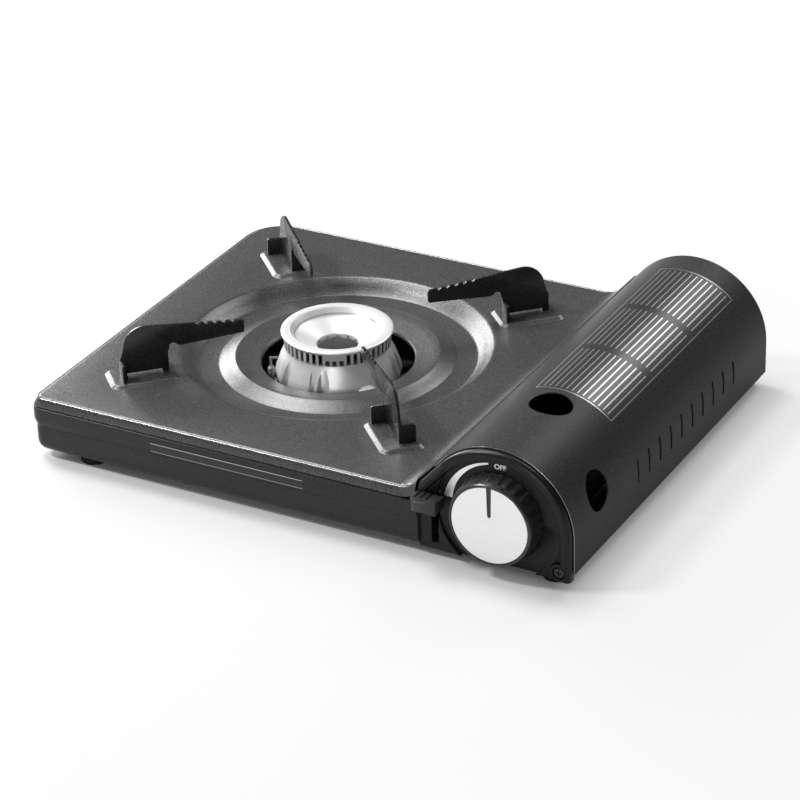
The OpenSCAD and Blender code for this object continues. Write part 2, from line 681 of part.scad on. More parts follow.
// Points along the spark lead: down from the igniter, through the wall, to the electrode
lead_x = x_can - 27.3;
lead_y = wall_y + 5.9;
lead_hole_y = y_mid - 109.8;
electrode_at = [x_burner, y_mid] + electrode_r * [cos(electrode_a), sin(electrode_a)];
lead_z = floor_top + 1.4;
lead_points = [
    [lead_x, lead_y, 22], [lead_x - 1.2, lead_y, 22], [lead_x - 3.2, lead_y + 0.1, 20],
    [lead_x - 4.4, lead_y + 0.3, 14], [lead_x - 6.8, lead_y + 0.9, lead_z + 2.2],
    [partition_x + 15.6, lead_y + 3, lead_z + 0.2], [partition_x + 8.6, lead_y + 7, lead_z + 0.4],
    [partition_x + 2.6, lead_hole_y - 0.7, lead_z + 1.4],
    [partition_x - 3.4, lead_hole_y + 0.6, lead_z + 1.6],
    [partition_x - 11.4, lead_hole_y + 1.8, lead_z + 1],
    [x_burner + 90, lead_hole_y + 4.8, lead_z + 0.1], [x_burner + 70, lead_hole_y + 8.8, lead_z],
    [x_burner + 50, lead_hole_y + 13.8, lead_z], [x_burner + 30, lead_hole_y + 21.8, lead_z],
    [x_burner + 13, lead_hole_y + 33.8, lead_z], [x_burner - 1, lead_hole_y + 47.8, lead_z],
    [electrode_at[0] + 20.3, electrode_at[1] - 24.6, lead_z],
    [electrode_at[0] + 10.3, electrode_at[1] - 12.6, lead_z],
    [electrode_at[0] + 3.3, electrode_at[1] - 5.1, lead_z + 0.4],
    [electrode_at[0], electrode_at[1], lead_z + 1.4],
    [electrode_at[0], electrode_at[1], lead_z + 2.8]
];

lead_r = 1.2;
lead_sides = 8;

module spark_lead() color([0.75, 0.10, 0.08]) {
    p = lead_points;
    n = len(p);
    rings = [
        for (i = [0:n - 1])
            let (
                t = unit(p[min(i + 1, n - 1)] - p[max(i - 1, 0)]),
                s = unit(cross(t, [0.3, 0.1, 0.95])),
                u = cross(s, t)
            )
            for (k = [0:lead_sides - 1])
                p[i] + lead_r * (cos(360 * k / lead_sides) * s + sin(360 * k / lead_sides) * u)
    ];
    sides = [
        for (i = [0:n - 2], k = [0:lead_sides - 1])
            let (a = i * lead_sides + k, b = i * lead_sides + (k + 1) % lead_sides)
            [a, b, b + lead_sides, a + lead_sides]
    ];
    cap0 = [for (k = [lead_sides - 1:-1:0]) k];
    cap1 = [for (k = [0:lead_sides - 1]) (n - 1) * lead_sides + k];
    polyhedron(rings, concat(sides, [cap0, cap1]), convexity = 6);
}

// ---------- igniter, governor and socket ----------

module igniter() color([0.12, 0.12, 0.12]) {
    y0 = wall_y + sheet;
    translate([x_can - 27, y0, 10]) cube([12, 14, 22]);
    translate([x_can - 21, y0 + 14, 16]) rotate([-90, 0, 0]) cylinder(r = 3.6, h = 3.6);
    translate([x_can - 15, y0 + 7, 24]) rotate([0, 90, 0]) cylinder(r = 2, h = 1.2);
}

module igniter_cam() color([0.85, 0.83, 0.78])
    translate([x_can, wall_y + sheet + 2, knob_z]) rotate([-90, 0, 0]) difference() {
        union() {
            cylinder(r = 8, h = 5);
            translate([0, -11, 0]) cylinder(r = 3, h = 5);
            translate([-3, -11, 0]) cube([6, 11, 5]);
        }
        translate([0, 0, -1]) cylinder(r = shaft_r, h = 8);
    }

module gas_governor() color([0.60, 0.61, 0.62]) {
    len = governor_y1 - governor_y0;
    difference() {
        union() {
            translate([x_can, governor_y0, can_z]) rotate([-90, 0, 0]) {
                cylinder(r = governor_r - 2, h = 5);
                translate([0, 0, 5]) cylinder(r = governor_r, h = len - 5);
            }
            for (a = [45, 135, 225, 315])
                translate([x_can, governor_y0 + 5, can_z]) rotate([-90, 0, 0])
                    rotate([0, 0, a]) translate([governor_r, 0, 0])
                        cylinder(r = 3.4, h = len - 5);
            translate([x_can, governor_y0 - 2, knob_z]) rotate([-90, 0, 0])
                cylinder(r = 8, h = 8);
            translate([x_burner, y_mid, tube_z]) rotate([0, 0, tube_dir])
                translate([pipe_end - 6, 0, 0]) rotate([0, 90, 0]) cylinder(r = 5, h = 14);
            translate([x_can - 13, governor_y0 + 8, tube_z]) cube([14, 12, can_z - tube_z]);
        }
        translate([x_can, governor_y0 - 3, knob_z]) rotate([-90, 0, 0])
            cylinder(r = shaft_r + run_gap, h = 12);
        translate([x_can, governor_y1 - 9, can_z]) rotate([-90, 0, 0])
            cylinder(r = 9, h = 20);
        translate([x_burner, y_mid, tube_z]) rotate([0, 0, tube_dir])
            translate([pipe_end - 7, 0, 0]) rotate([0, 90, 0])
                cylinder(r = 2.4 + run_gap, h = 7.3);
    }
}

// Upright plate that carries the governor and keys the cartridge's notch
module socket_plate() color([0.62, 0.63, 0.64]) {
    y0 = plate_gap_y;
    t = 1.2;
    difference() {
        union() {
            on_front(y0) linear_extrude(t) {
                translate([x_can, can_z]) circle(29);
                translate([x_can - 26, floor_top]) square([52, can_z - floor_top]);
            }
            translate([x_can - 26, y0, floor_top]) cube([52, 10, t]);
            translate([x_can, y0, can_z + 19]) rotate([-90, 0, 0]) cylinder(r = 1.6, h = 7);
        }
        translate([x_can, y0 - 1, can_z]) rotate([-90, 0, 0]) cylinder(r = 9.2, h = t + 2);
    }
}

module cartridge_socket() color([0.72, 0.58, 0.30])
    translate([x_can, governor_y1 - 9, can_z]) rotate([-90, 0, 0]) difference() {
        union() {
            cylinder(r = 9 - run_gap, h = 13);
            translate([0, 0, 13]) cylinder(r1 = 9 - run_gap, r2 = 7.6, h = 3);
        }
        translate([0, 0, 5]) cylinder(r = bore_r, h = 20);
        translate([0, 0, 3]) cylinder(r = bore_r + 0.6, h = 2.01);
        translate([0, 0, -1]) cylinder(r = 1.2, h = 6);
    }

module cartridge_seal() color([0.05, 0.05, 0.05])
    translate([x_can, governor_y1 - 6, can_z]) rotate([-90, 0, 0]) difference() {
        cylinder(r = bore_r + 0.5, h = 1.9);
        translate([0, 0, -1]) cylinder(r = 2.4, h = 4);
    }

// Two rails that the cartridge lies between, with a foot at each end
module cartridge_cradle() color([0.62, 0.63, 0.64]) {
    y0 = socket_y + cartridge_len * 0.14;
    rail_len = cartridge_len * 0.7;
    difference() {
        on_front(y0) linear_extrude(rail_len) difference() {
            for (s = [-1, 1]) translate([x_can + s * 21 - 2.5, floor_top]) square([5, 9]);
            translate([x_can, can_z]) circle(cartridge_r + seat_gap);
        }
        translate([x_can - 40, y_mid - 18.5, floor_top - 1]) cube([80, 37, 2.3]);
    }
    for (y = [y0, y0 + rail_len - 8], s = [-1, 1])
        translate([x_can + s * 28 - 6, y, floor_top]) cube([12, 8, 1]);
}

module heat_panel() color([0.78, 0.78, 0.79]) {
    x0 = x_burner + 50;
    t = 1;
    translate([x0, y_mid - 18, floor_top]) cube([x_can + 17 - x0, 36, t]);
    translate([x0, y_mid - 18, floor_top]) cube([t, 36, 21]);
}

// ---------- lock lever and cartridge carrier ----------

// A straight arm with round ends, from the origin along +X
module arm2d(l, w0, w1) {
    polygon([[0, -w0 / 2], [l, -w1 / 2], [l, w1 / 2], [0, w0 / 2]]);
    circle(w0 / 2);
    translate([l, 0]) circle(w1 / 2);
}

module cartridge_carrier() color([0.70, 0.70, 0.71]) {
    y0 = pivot_y - 9;
    pin_y = pivot_y + link_arm * sin(lever_swing / 2);
    link_z = pivot_z + link_arm * cos(lever_swing / 2);
    strip_y1 = pusher_y + strip_t;
    difference() {
        translate([strip_x, y0, strip_z]) cube([strip_t, strip_y1 - y0, strip_h]);
        translate([strip_x - 1, pin_y, link_z]) rotate([90, 0, 90])
            linear_extrude(strip_t + 2) rotate(90) slot2d(5.4, 2 * link_r + 2 * run_gap);
    }
    on_front(pusher_y) linear_extrude(strip_t) {
        translate([strip_x, strip_z]) square([x_can - strip_x, strip_h]);
        translate([x_can, can_z]) circle(16);
    }
    translate([x_can, pusher_y - 0.4, can_z]) rotate([-90, 0, 0]) cylinder(r = 8, h = 1);
}

module carrier_guides() color([0.62, 0.63, 0.64]) {
    t = 1.2;
    g = seat_gap;
    z0 = strip_z - g - t;
    for (s = [0.15, 0.79]) on_front(socket_y + cartridge_len * s) linear_extrude(10) difference() {
        union() {
            translate([partition_x + sheet, z0]) square([strip_x - partition_x, t]);
            translate([strip_x - g - t, z0])
                square([strip_t + 2 * g + 2 * t, strip_h + 2 * g + 2 * t]);
            translate([partition_x + sheet, z0 - 6]) square([t, 7]);
        }
        translate([strip_x - g, strip_z - g]) square([strip_t + 2 * g, strip_h + 2 * g]);
    }
}

// The lever's plate: a forward arm through the slot, and an upper arm to the link pin
module lever_plate() color([0.66, 0.66, 0.67]) {
    up = lever_swing / 2;
    reach = pivot_y - panel_y + 6;
    translate([slot_x - lever_t / 2, pivot_y, pivot_z]) rotate([90, 0, 90])
        linear_extrude(lever_t) difference() {
            union() {
                rotate(180 - up) arm2d(reach, 11, 9);
                rotate(90 - up) arm2d(link_arm, 9, 6.6);
            }
            circle(pivot_r + run_gap);
            rotate(90 - up) translate([link_arm, 0]) circle(link_r);
        }
}

module carrier_link_pin() color([0.70, 0.70, 0.72])
    translate([slot_x + lever_t / 2, pivot_y + link_arm * sin(lever_swing / 2),
        pivot_z + link_arm * cos(lever_swing / 2)])
        rotate([0, -90, 0]) cylinder(r = link_r, h = lever_t + slot_x - strip_x - 1 + 0.4);

thumb_top = pivot_z + 14.5;
thumb_out = panel_y - (y_front - lever_reach);

// Side view of the thumb pad, as (distance behind the panel's face, height)
function pad_side() = concat(
    [[-1.9, thumb_top], [-thumb_out, thumb_top], [-thumb_out, thumb_top - 5.4]],
    [[-5.2, pivot_z + 2.2], [-3.4, pivot_z + 4.8], [-1.9, pivot_z + 7.6]]
);

module thumb_pad() color([0.07, 0.07, 0.07]) {
    x0 = slot_x - pad_w0;
    x1 = slot_x + pad_w1;
    difference() {
        intersection() {
            translate([x0, panel_y, 0]) rotate([90, 0, 90]) linear_extrude(pad_w0 + pad_w1)
                polygon(pad_side());
            on_front(panel_y - thumb_out - 1) linear_extrude(thumb_out + 1) polygon([
                [x0, thumb_top], [x0, thumb_top - 6.6], [slot_x - 1.8, pivot_z + 1],
                [slot_x + 1.8, pivot_z + 1], [x1, thumb_top - 6.6], [x1, thumb_top]
            ]);
            translate([0, 0, pivot_z - 6]) linear_extrude(30) pad_plan();
        }
        for (i = [-1:1]) translate([slot_x - 4.2 + 3.5 * i, panel_y - thumb_out + 5.4, thumb_top - 0.8])
            cube([1, thumb_out - 6.9, 2]);
        translate([slot_x - lever_t / 2, pivot_y, pivot_z]) rotate([90, 0, 90])
            linear_extrude(lever_t) rotate(180 - lever_swing / 2)
                arm2d(pivot_y - panel_y + 6, 11, 9);
    }
}

// Plan of the thumb pad: a straight left side and a broad rounded front
module pad_plan() {
    x0 = slot_x - pad_w0;
    x1 = slot_x + pad_w1;
    yf = panel_y - thumb_out;
    polygon(concat(
        [[x1, panel_y], [x0, panel_y]],
        arc([x0 + 6, yf + 6], 6, 180, 270, 8),
        arc([x1 - 9, yf + 9], 9, 270, 360, 9)
    ));
}

module lever_bracket() color([0.62, 0.63, 0.64]) {
    w = 3;
    t = 1.2;
    for (s = [-1, 1])
        translate([slot_x + (s > 0 ? lever_t / 2 + seat_gap : -lever_t / 2 - seat_gap - t),
            pivot_y, pivot_z]) rotate([90, 0, 90]) linear_extrude(t) difference() {
            union() {
                circle(5);
                translate([-5, -(pivot_z - floor_top)]) square([10, pivot_z - floor_top]);
            }
            circle(pivot_r + run_gap);
        }
    translate([slot_x - lever_t / 2 - seat_gap - t, pivot_y - 5, floor_top])
        cube([lever_t + 2 * seat_gap + 2 * t, 10, w - 1.6]);
    translate([slot_x + lever_t / 2 + seat_gap, pivot_y - 5, floor_top]) cube([9, 10, t]);
}

module lever_pivot_pin() color([0.70, 0.70, 0.72])
    translate([slot_x - lever_t / 2 - 2.2, pivot_y, pivot_z]) rotate([0, 90, 0]) {
        cylinder(r = pivot_r, h = lever_t + 4.4);
        translate([0, 0, lever_t + 4.0]) cylinder(r = pivot_r + 1, h = 1.2);
    }

// ---------- front frame, panel and knob ----------

band_w = 5.6;
band_out = sheet + seat_gap;
band_in_r = cover_r - band_out - band_w;
screw_x = x_right - 7.6;
screw_z = floor_z + 5.6;
screw_boss_r = 5.35;

// Section of the arched band as (distance out from its inner edge, distance forward)
function band_section() = concat(
    [[0, 0], [0, panel_t + 0.8]],
    arc([0.6, panel_t + 0.8], 0.6, 180, 90, 3),
    arc([band_w - 2.6, panel_t - 1.2], 2.6, 90, 0, 6),
    [[band_w, 0]]
);

module front_frame() color([0.08, 0.08, 0.085]) {
    y0 = panel_y + panel_t;
    foot_z = floor_z + 0.4;
    x_cut = rim_end_x + 1.9;
    difference() {
        union() {
            translate([x_arch, y0, arch_z]) rotate([90, 0, 0])
                rotate_extrude(angle = 90 + slope_a) translate([band_in_r, 0])
                    polygon(band_section());
            translate([x_arch + band_in_r, y0, foot_z]) linear_extrude(arch_z - foot_z)
                mirror([0, 1]) polygon(band_section());
            translate([x_arch, y0, arch_z]) rotate([90, 0, 0]) rotate([0, 0, 90 + slope_a])
                translate([band_in_r, -0.3, 0]) rotate([-90, 0, 0]) linear_extrude(26)
                    mirror([0, 1]) offset(delta = -0.03) polygon(band_section());
            translate([screw_x, y0 - 5.1, screw_z]) rotate([-90, 0, 0])
                cylinder(r = screw_boss_r, h = 5.1);
        }
        translate([screw_x, y0 - 8, screw_z]) rotate([-90, 0, 0]) cylinder(r = 3.8, h = 5.4);
        translate([screw_x, y0 - 9, screw_z]) rotate([-90, 0, 0]) cylinder(r = 1.6, h = 12);
        translate([x_right - band_out, y0 - 12, -5]) cube([20, 30, 60]);
        translate([0, y0 - 12, -5]) cube([x_right + 10, 30, floor_z + 5.3]);
        translate([x_cut - 60, y0 - 12, plate_z - 30]) cube([60, 30, 60]);
        translate([hinge_x, cover_y0 - 0.4, hinge_z]) rotate([-90, 0, 0])
            cylinder(r = hinge_sweep_r, h = 10);
    }
}

module control_panel() color([0.07, 0.07, 0.075]) {
    gap = 0.4;
    x0 = wall_end_x + gap;
    difference() {
        union() {
            on_front(panel_y) linear_extrude(panel_t) difference() {
                intersection() {
                    arch2d(band_out + band_w + gap, x0, floor_z + 0.6);
                    translate([x0, floor_z + 0.6]) square([x_right - x0, 80]);
                }
                translate([x_fillet, plate_z + fillet_r]) circle(fillet_r + 5.2);
                translate([x0 - 1, plate_z - 5.2]) square([rim_end_x + 1.8 - x0 + 1, 20]);
                translate([screw_x, screw_z]) circle(screw_boss_r + gap);
            }
            on_front(panel_y - 0.6) linear_extrude(1) difference() {
                intersection() {
                    translate([x_can, knob_z]) circle(well_r + 1.3);
                    arch2d(band_out + band_w + gap, x0, floor_z + 0.6);
                    translate([x0, floor_z + 0.6]) square([x_right - x0, 80]);
                }
                translate([x_can, knob_z]) circle(well_r);
                translate([screw_x, screw_z]) circle(screw_boss_r + gap);
                translate([0, -1]) square([slot_x + lever_slot_w, 100]);
            }
        }
        translate([x_can, panel_y - 4, knob_z]) rotate([-90, 0, 0])
            cylinder(r = well_r, h = 4 + well_depth);
        translate([x_can, panel_y - 1, knob_z]) rotate([-90, 0, 0])
            cylinder(r = shaft_r + 1, h = 10);
        translate([slot_x - lever_slot_w / 2, panel_y - 1, slot_z0])
            cube([lever_slot_w, 8, slot_z1 - slot_z0]);
    }
}

module panel_screw() color([0.10, 0.10, 0.10])
    translate([screw_x, panel_y + panel_t - 5.3, screw_z]) rotate([-90, 0, 0]) difference() {
        union() {
            cylinder(r1 = 2.6, r2 = 3.5, h = 1);
            translate([0, 0, 1]) cylinder(r = 3.5, h = 1.6);
            translate([0, 0, 2]) cylinder(r = 1.5, h = 7);
        }
        for (a = [0, 90]) rotate([0, 0, a]) translate([-2, -0.4, -0.5]) cube([4, 0.8, 1.7]);
    }

// Fluted body, wider at the back, hollow behind its face
module knob() color([0.05, 0.05, 0.05])
    translate([x_can, knob_face_y, knob_z]) rotate([-90, 0, 0]) difference() {
        union() {
            cylinder(r1 = knob_face_r - 0.5, r2 = knob_face_r, h = 0.6);
            translate([0, 0, 0.6]) cylinder(r1 = knob_face_r, r2 = knob_r, h = knob_h - 0.6);
        }
        for (i = [0:knob_flutes - 1]) rotate([0, 0, 360 / knob_flutes * i])
            translate([knob_face_r + 3.6, 0, 2.2]) rotate([0, 10.5, 0])
                cylinder(r = 4, h = knob_h + 4);
        translate([0, 0, -1]) cylinder(r = disc_r, h = 1 + disc_t + 0.1);
        translate([0, 0, 4]) difference() {
            cylinder(r = knob_face_r - 3.4, h = knob_h);
            cylinder(r = shaft_r + 3, h = knob_h);
        }
        translate([0, 0, 3]) cylinder(r = shaft_r, h = knob_h);
    }

module knob_disc() color([0.80, 0.80, 0.80])
    translate([x_can, knob_face_y + 0.1, knob_z]) rotate([-90, 0, 0]) difference() {
        union() {
            cylinder(r1 = disc_r - 0.5, r2 = disc_r - 0.15, h = 0.35);
            translate([0, 0, 0.35]) cylinder(r = disc_r - 0.15, h = disc_t - 0.35);
        }
        translate([0, 0, -1]) rotate([0, 0, -90]) linear_extrude(5) {
            polygon([[6, -1.1], [disc_r + 1, -1.5], [disc_r + 1, 1.5], [6, 1.1]]);
            translate([6, 0]) circle(1.1);
        }
    }

module knob_shaft() color([0.70, 0.70, 0.72])
    translate([x_can, knob_face_y + 3, knob_z]) rotate([-90, 0, 0])
        cylinder(r = shaft_r, h = governor_y0 + 7 - knob_face_y - 3);

// ---------- cover ----------

// Outer line of the cover, from its seam over the arch and down the right wall
function cover_line() = concat(
    [seam],
    arc([x_arch, arch_z], cover_r, 90 + slope_a, 0, 36),
    [[x_right, cover_skirt_z]]
);

vent_pitch = 14.4;
vent_y0 = y_mid + 16.5 - vent_pitch * (vent_slots - 1) / 2;
sight_side_a = 18;

module cover() color([0.10, 0.10, 0.105]) {
    difference() {
        union() {
            on_front(cover_y0) linear_extrude(cover_len)
                polygon(sheet_outline(cover_line(), -sheet));
            translate([x_right - 2.2, cover_y0 + 2, cover_skirt_z])
                cube([2.2, cover_len - 2, sheet]);
        }
        translate([x_can + 2, y_mid - 70.5, arch_z]) cylinder(r = sight_r, h = cover_r + 5);
        translate([x_arch, y_mid - 95.8, arch_z]) rotate([0, 90 - sight_side_a, 0])
            cylinder(r = sight_r - 0.6, h = cover_r + 5);
        for (i = [0:vent_slots - 1])
            translate([x_right - 3, vent_y0 + vent_pitch * i, 30.8]) rotate([90, 0, 90])
                linear_extrude(6) rotate(90) slot2d(15, 2.2);
    }
    for (y = hinge_ys) hinge_ear(y);
}

// Ear that hangs from the cover's edge and turns on a hinge pin
module hinge_ear(y) {
    on_front(y - hinge_ear_w / 2) linear_extrude(hinge_ear_w) difference() {
        union() {
            translate(hinge_at) circle(hinge_ear_r);
            translate(hinge_at) rotate(slope_a)
                translate([-hinge_ear_r, 0]) square([2 * hinge_ear_r, 2.5]);
        }
        translate(hinge_at) circle(hinge_pin_r + run_gap);
    }
}

// Upright U-shaped brackets that stand on the case's floor beside the cartridge
module hinge_brackets() color([0.62, 0.63, 0.64]) {
    t = 1.4;
    g = hinge_ear_w / 2 + seat_gap;
    x0 = hinge_x - 2.2;
    x1 = hinge_x + 1.8;
    for (y = hinge_ys) {
        for (s = [0, 1]) on_front(s == 0 ? y - g - t : y + g) linear_extrude(t) difference() {
            union() {
                translate(hinge_at) circle(hinge_ear_r);
                polygon([
                    [hinge_x + 0.75, hinge_z - 1.6],
                    [hinge_x + 0.95, hinge_z - 5],
                    [x0, hinge_z - 9.4],
                    [x0, floor_top],
                    [x1, floor_top],
                    [x1, hinge_z - 9],
                    [hinge_x + 2.8, hinge_z - 6],
                    [hinge_x + 2.8, hinge_z - 2],
                    [hinge_x + 1.3, hinge_z + 1.2],
                    [hinge_x, hinge_z]
                ]);
            }
            translate(hinge_at) circle(hinge_pin_r + run_gap);
        }
        translate([x0, y - g - t, floor_top]) cube([t, 2 * g + 2 * t, 12]);
        translate([x0 - 1.4, y - g - t, floor_top]) cube([x1 - x0 + 1.4, 2 * g + 2 * t, 1]);
    }
}

module hinge_pins() color([0.70, 0.70, 0.72])
    for (y = hinge_ys) translate([hinge_x, y - 4.4, hinge_z]) rotate([-90, 0, 0])
        cylinder(r = hinge_pin_r, h = 8.8);

lower_case();
rear_panel();
partition();
feet();
case_screws();
top_plate();
pot_support_front_left();
pot_support_front_right();
pot_support_back_left();
pot_support_back_right();
burner_bracket();
burner_body();
burner_cap();
burner_screw();
mixing_tube();
gas_jet();
gas_pipe();
spark_electrode();
electrode_bracket();
spark_lead();
igniter();
igniter_cam();
gas_governor();
socket_plate();
cartridge_socket();
cartridge_seal();
cartridge_cradle();
heat_panel();
cartridge_carrier();
carrier_guides();
carrier_link_pin();
lever_plate();
thumb_pad();
lever_bracket();
lever_pivot_pin();
front_frame();
control_panel();
panel_screw();
knob();
knob_disc();
knob_shaft();
cover();
hinge_brackets();
hinge_pins();
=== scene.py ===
import json
import math

import bmesh
import bpy
from mathutils import Matrix, Vector

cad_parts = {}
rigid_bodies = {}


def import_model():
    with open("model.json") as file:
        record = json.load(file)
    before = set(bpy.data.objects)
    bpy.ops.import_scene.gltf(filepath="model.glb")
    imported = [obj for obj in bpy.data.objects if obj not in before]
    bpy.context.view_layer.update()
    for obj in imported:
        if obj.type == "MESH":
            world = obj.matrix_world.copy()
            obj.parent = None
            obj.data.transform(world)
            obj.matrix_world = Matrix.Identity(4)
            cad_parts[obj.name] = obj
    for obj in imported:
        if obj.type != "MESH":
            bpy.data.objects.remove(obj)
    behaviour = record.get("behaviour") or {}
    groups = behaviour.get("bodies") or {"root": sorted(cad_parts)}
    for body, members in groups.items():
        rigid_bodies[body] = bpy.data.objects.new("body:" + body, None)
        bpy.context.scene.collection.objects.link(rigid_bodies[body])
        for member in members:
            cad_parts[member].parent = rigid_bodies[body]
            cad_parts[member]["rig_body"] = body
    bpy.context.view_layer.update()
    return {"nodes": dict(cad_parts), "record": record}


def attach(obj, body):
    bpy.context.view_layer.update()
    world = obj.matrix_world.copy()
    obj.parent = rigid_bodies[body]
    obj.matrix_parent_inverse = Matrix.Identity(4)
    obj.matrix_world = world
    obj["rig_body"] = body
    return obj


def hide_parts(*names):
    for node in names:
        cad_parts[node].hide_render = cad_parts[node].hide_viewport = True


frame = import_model()

# Places on the stove, in metres
BURNER_X, BURNER_Y = -0.0439, 0.00575
PLATE_Z = 0.0387
ARCH_X, ARCH_Z, COVER_R = 0.1269, 0.0289, 0.0456
COVER_FRONT, COVER_SKIRT = -0.12275, 0.0086
SEAM_X, SEAM_Z = 0.08895, 0.0549
WELL_FLOOR = -0.12365
WALL_FRONT = -0.12485
BEAD_LEFT, BEAD_BACK, BEND_X = -0.1691, 0.13635, 0.06902
STRIP_LEFT, STRIP_RIGHT, STRIP_LOW, STRIP_TOP = -0.0900, 0.0087, 0.0225, 0.0290
LABEL_Y0, LABEL_Y1 = -0.0495, 0.1166
LABEL_FROM, LABEL_TO = math.radians(-19), math.radians(45)
PRINT_LIFT, STRIP_LIFT = 0.00006, 0.00008

# The burner cap's flame slots: where the painted shade down in the slots fades in and out
SLOT_INNER, SLOT_OUTER = (0.0245, 0.0255), (0.0296, 0.0316)
SLOT_FOOT, SLOT_TOP = (0.0402, 0.0410), (0.0466, 0.0474)

# The raised pads, and the steps of their lip: how far in, how far up
PAD_LENGTH, PAD_WIDTH, PAD_CORNER, PAD_OUT, PAD_SINK = 0.0405, 0.0262, 0.0052, 0.11725, 0.00002
PAD_LIP = (
    (0.0004, 0.00020),
    (0.0006, 0.00042),
    (0.0008, 0.00056),
    (0.0005, 0.00026),
    (0.0005, 0.00010),
    (0.0008, 0.00004),
)

# The cover's front lip, and its straight run from the seam up to the arch
LIP_R, LIP_INSET, LIP_BACK = 0.00045, 0.00048, 0.0003
SLOPE_RUN, SLOPE_RISE = 0.0040, 0.0045

# The plate's rolled edge
BEAD_R, BEAD_OFFSET, BEAD_DROP = 0.0008, 0.0003, 0.0010
BEND_R, BEND_LEAN = 0.012, math.radians(46)
FRONT_CORNER_R, BACK_CORNER_R = 0.0050, 0.0240

# The bulge of the case's front wall
BULGE_OUT, BULGE_R, BULGE_Z = 0.0034, 0.010, 0.0265

# The mark beside the knob: centre x and z, radius, and its angles at foot and top in degrees
MARK_OUTER = (0.1277, 0.0320, 0.0334, 168.8, 99.9)
MARK_INNER = (0.1286, 0.0359, 0.0287, 174.8, 103.0)
WORD_X, WORD_Z, WORD_SIZE, WORD_WEIGHT = 0.1292, 0.0625, 0.0041, 0.00016

# The camera, in degrees, millimetres and metres
CAMERA_TURN, CAMERA_RISE, CAMERA_ROLL = 29.37, 28.09, -1.78
CAMERA_LENS, SENSOR_WIDTH = 149.78, 36
CAMERA_TARGET, CAMERA_DISTANCE = (-0.0666, 0.11825, -0.0575), 2.0911


# ---------------------------------------------------------------- finishes


class Value:
    """A socket that carries a number, a colour or a vector; sums on numbers add Math nodes."""

    def __init__(self, finish, socket):
        self.finish = finish
        self.socket = socket

    def math(self, operation, *terms):
        return self.finish.node(
            "ShaderNodeMath", {"operation": operation}, dict(enumerate(terms))
        )

    def __add__(self, other):
        return self.math("ADD", self, other)

    def __sub__(self, other):
        return self.math("SUBTRACT", self, other)

    def __rsub__(self, other):
        return self.math("SUBTRACT", other, self)

    def __mul__(self, other):
        return self.math("MULTIPLY", self, other)

    def power(self, other):
        return self.math("POWER", self, other)

    def larger(self, other):
        return self.math("MAXIMUM", self, other)

    def smaller(self, other):
        return self.math("MINIMUM", self, other)

    def turn(self, other):
        """The angle of the point (other, self), in radians."""
        return self.math("ARCTAN2", self, other)

    def wrap(self, step):
        """How far the number lies past the last whole step."""
        return self.math("WRAP", self, step, 0.0)

    def size(self):
        return self.math("ABSOLUTE", self)

    __radd__ = __add__
    __rmul__ = __mul__


class Finish:
    """A material of the stove, with its nodes."""

    def __init__(self, name, **constants):
        self.material = bpy.data.materials.new(name)
        self.material.use_nodes = True
        self.tree = self.material.node_tree
        self.shader = self.tree.nodes["Principled BSDF"]
        for socket, value in constants.items():
            self.shader.inputs[socket.replace("_", " ")].default_value = value

    def node(self, kind, settings=None, inputs=None, output=0):
        made = self.tree.nodes.new(kind)
        for name, value in (settings or {}).items():
            if name == "stops":
                ramp = made.color_ramp
                while len(ramp.elements) < len(value):
                    ramp.elements.new(0.5)
                for element, (place, colour) in zip(ramp.elements, value):
                    element.position = place
                    element.color = (*colour, 1) if len(colour) == 3 else colour
            else:
                setattr(made, name, value)
        for name, value in (inputs or {}).items():
            if isinstance(value, Value):
                self.tree.links.new(value.socket, made.inputs[name])
            else:
                made.inputs[name].default_value = value
        return Value(self, made.outputs[output])

    def feed(self, **links):
        for socket, value in links.items():
            self.tree.links.new(value.socket, self.shader.inputs[socket.replace("_", " ")])

    def place(self):
        """The point on the object, in metres."""
        return self.node("ShaderNodeTexCoord", output="Object")

    def axes(self):
        """The point's x, y and z as three numbers."""
        place = self.place()
        return [
            self.node("ShaderNodeSeparateXYZ", {}, {0: place}, output=axis) for axis in "XYZ"
        ]

    def noise(self, scale, detail=2.0, roughness=0.5, vector=None):
        return self.node(
            "ShaderNodeTexNoise",
            {"noise_dimensions": "3D"},
            {
                "Vector": vector or self.place(),
                "Scale": scale,
                "Detail": detail,
                "Roughness": roughness,
            },
        )

    def stretched(self, factors):
        """The place on the object, stretched along the axes."""
        return self.node(
            "ShaderNodeMapping",
            {"vector_type": "POINT"},
            {"Vector": self.place(), "Scale": factors},
        )

    def between(self, value, low, high, start=0.0, end=1.0):
        """The number carried from start..end to low..high, held at both ends."""
        return self.node(
            "ShaderNodeMapRange",
            {"clamp": True},
            {"Value": value, "From Min": start, "From Max": end, "To Min": low, "To Max": high},
        )

    def ramp(self, value, *stops):
        return self.node("ShaderNodeValToRGB", {"stops": stops}, {"Fac": value})

    def mix(self, factor, a, b):
        return self.node(
            "ShaderNodeMix",
            {"data_type": "RGBA", "blend_type": "MIX"},
            {0: factor, 6: a, 7: b},
            output=2,
        )

    def bump(self, height, distance, strength=1.0):
        return self.node(
            "ShaderNodeBump", {}, {"Height": height, "Distance": distance, "Strength": strength}
        )


def grey(level, warmth=0.0):
    return (level * (1 + warmth), level, level * (1 - warmth), 1)


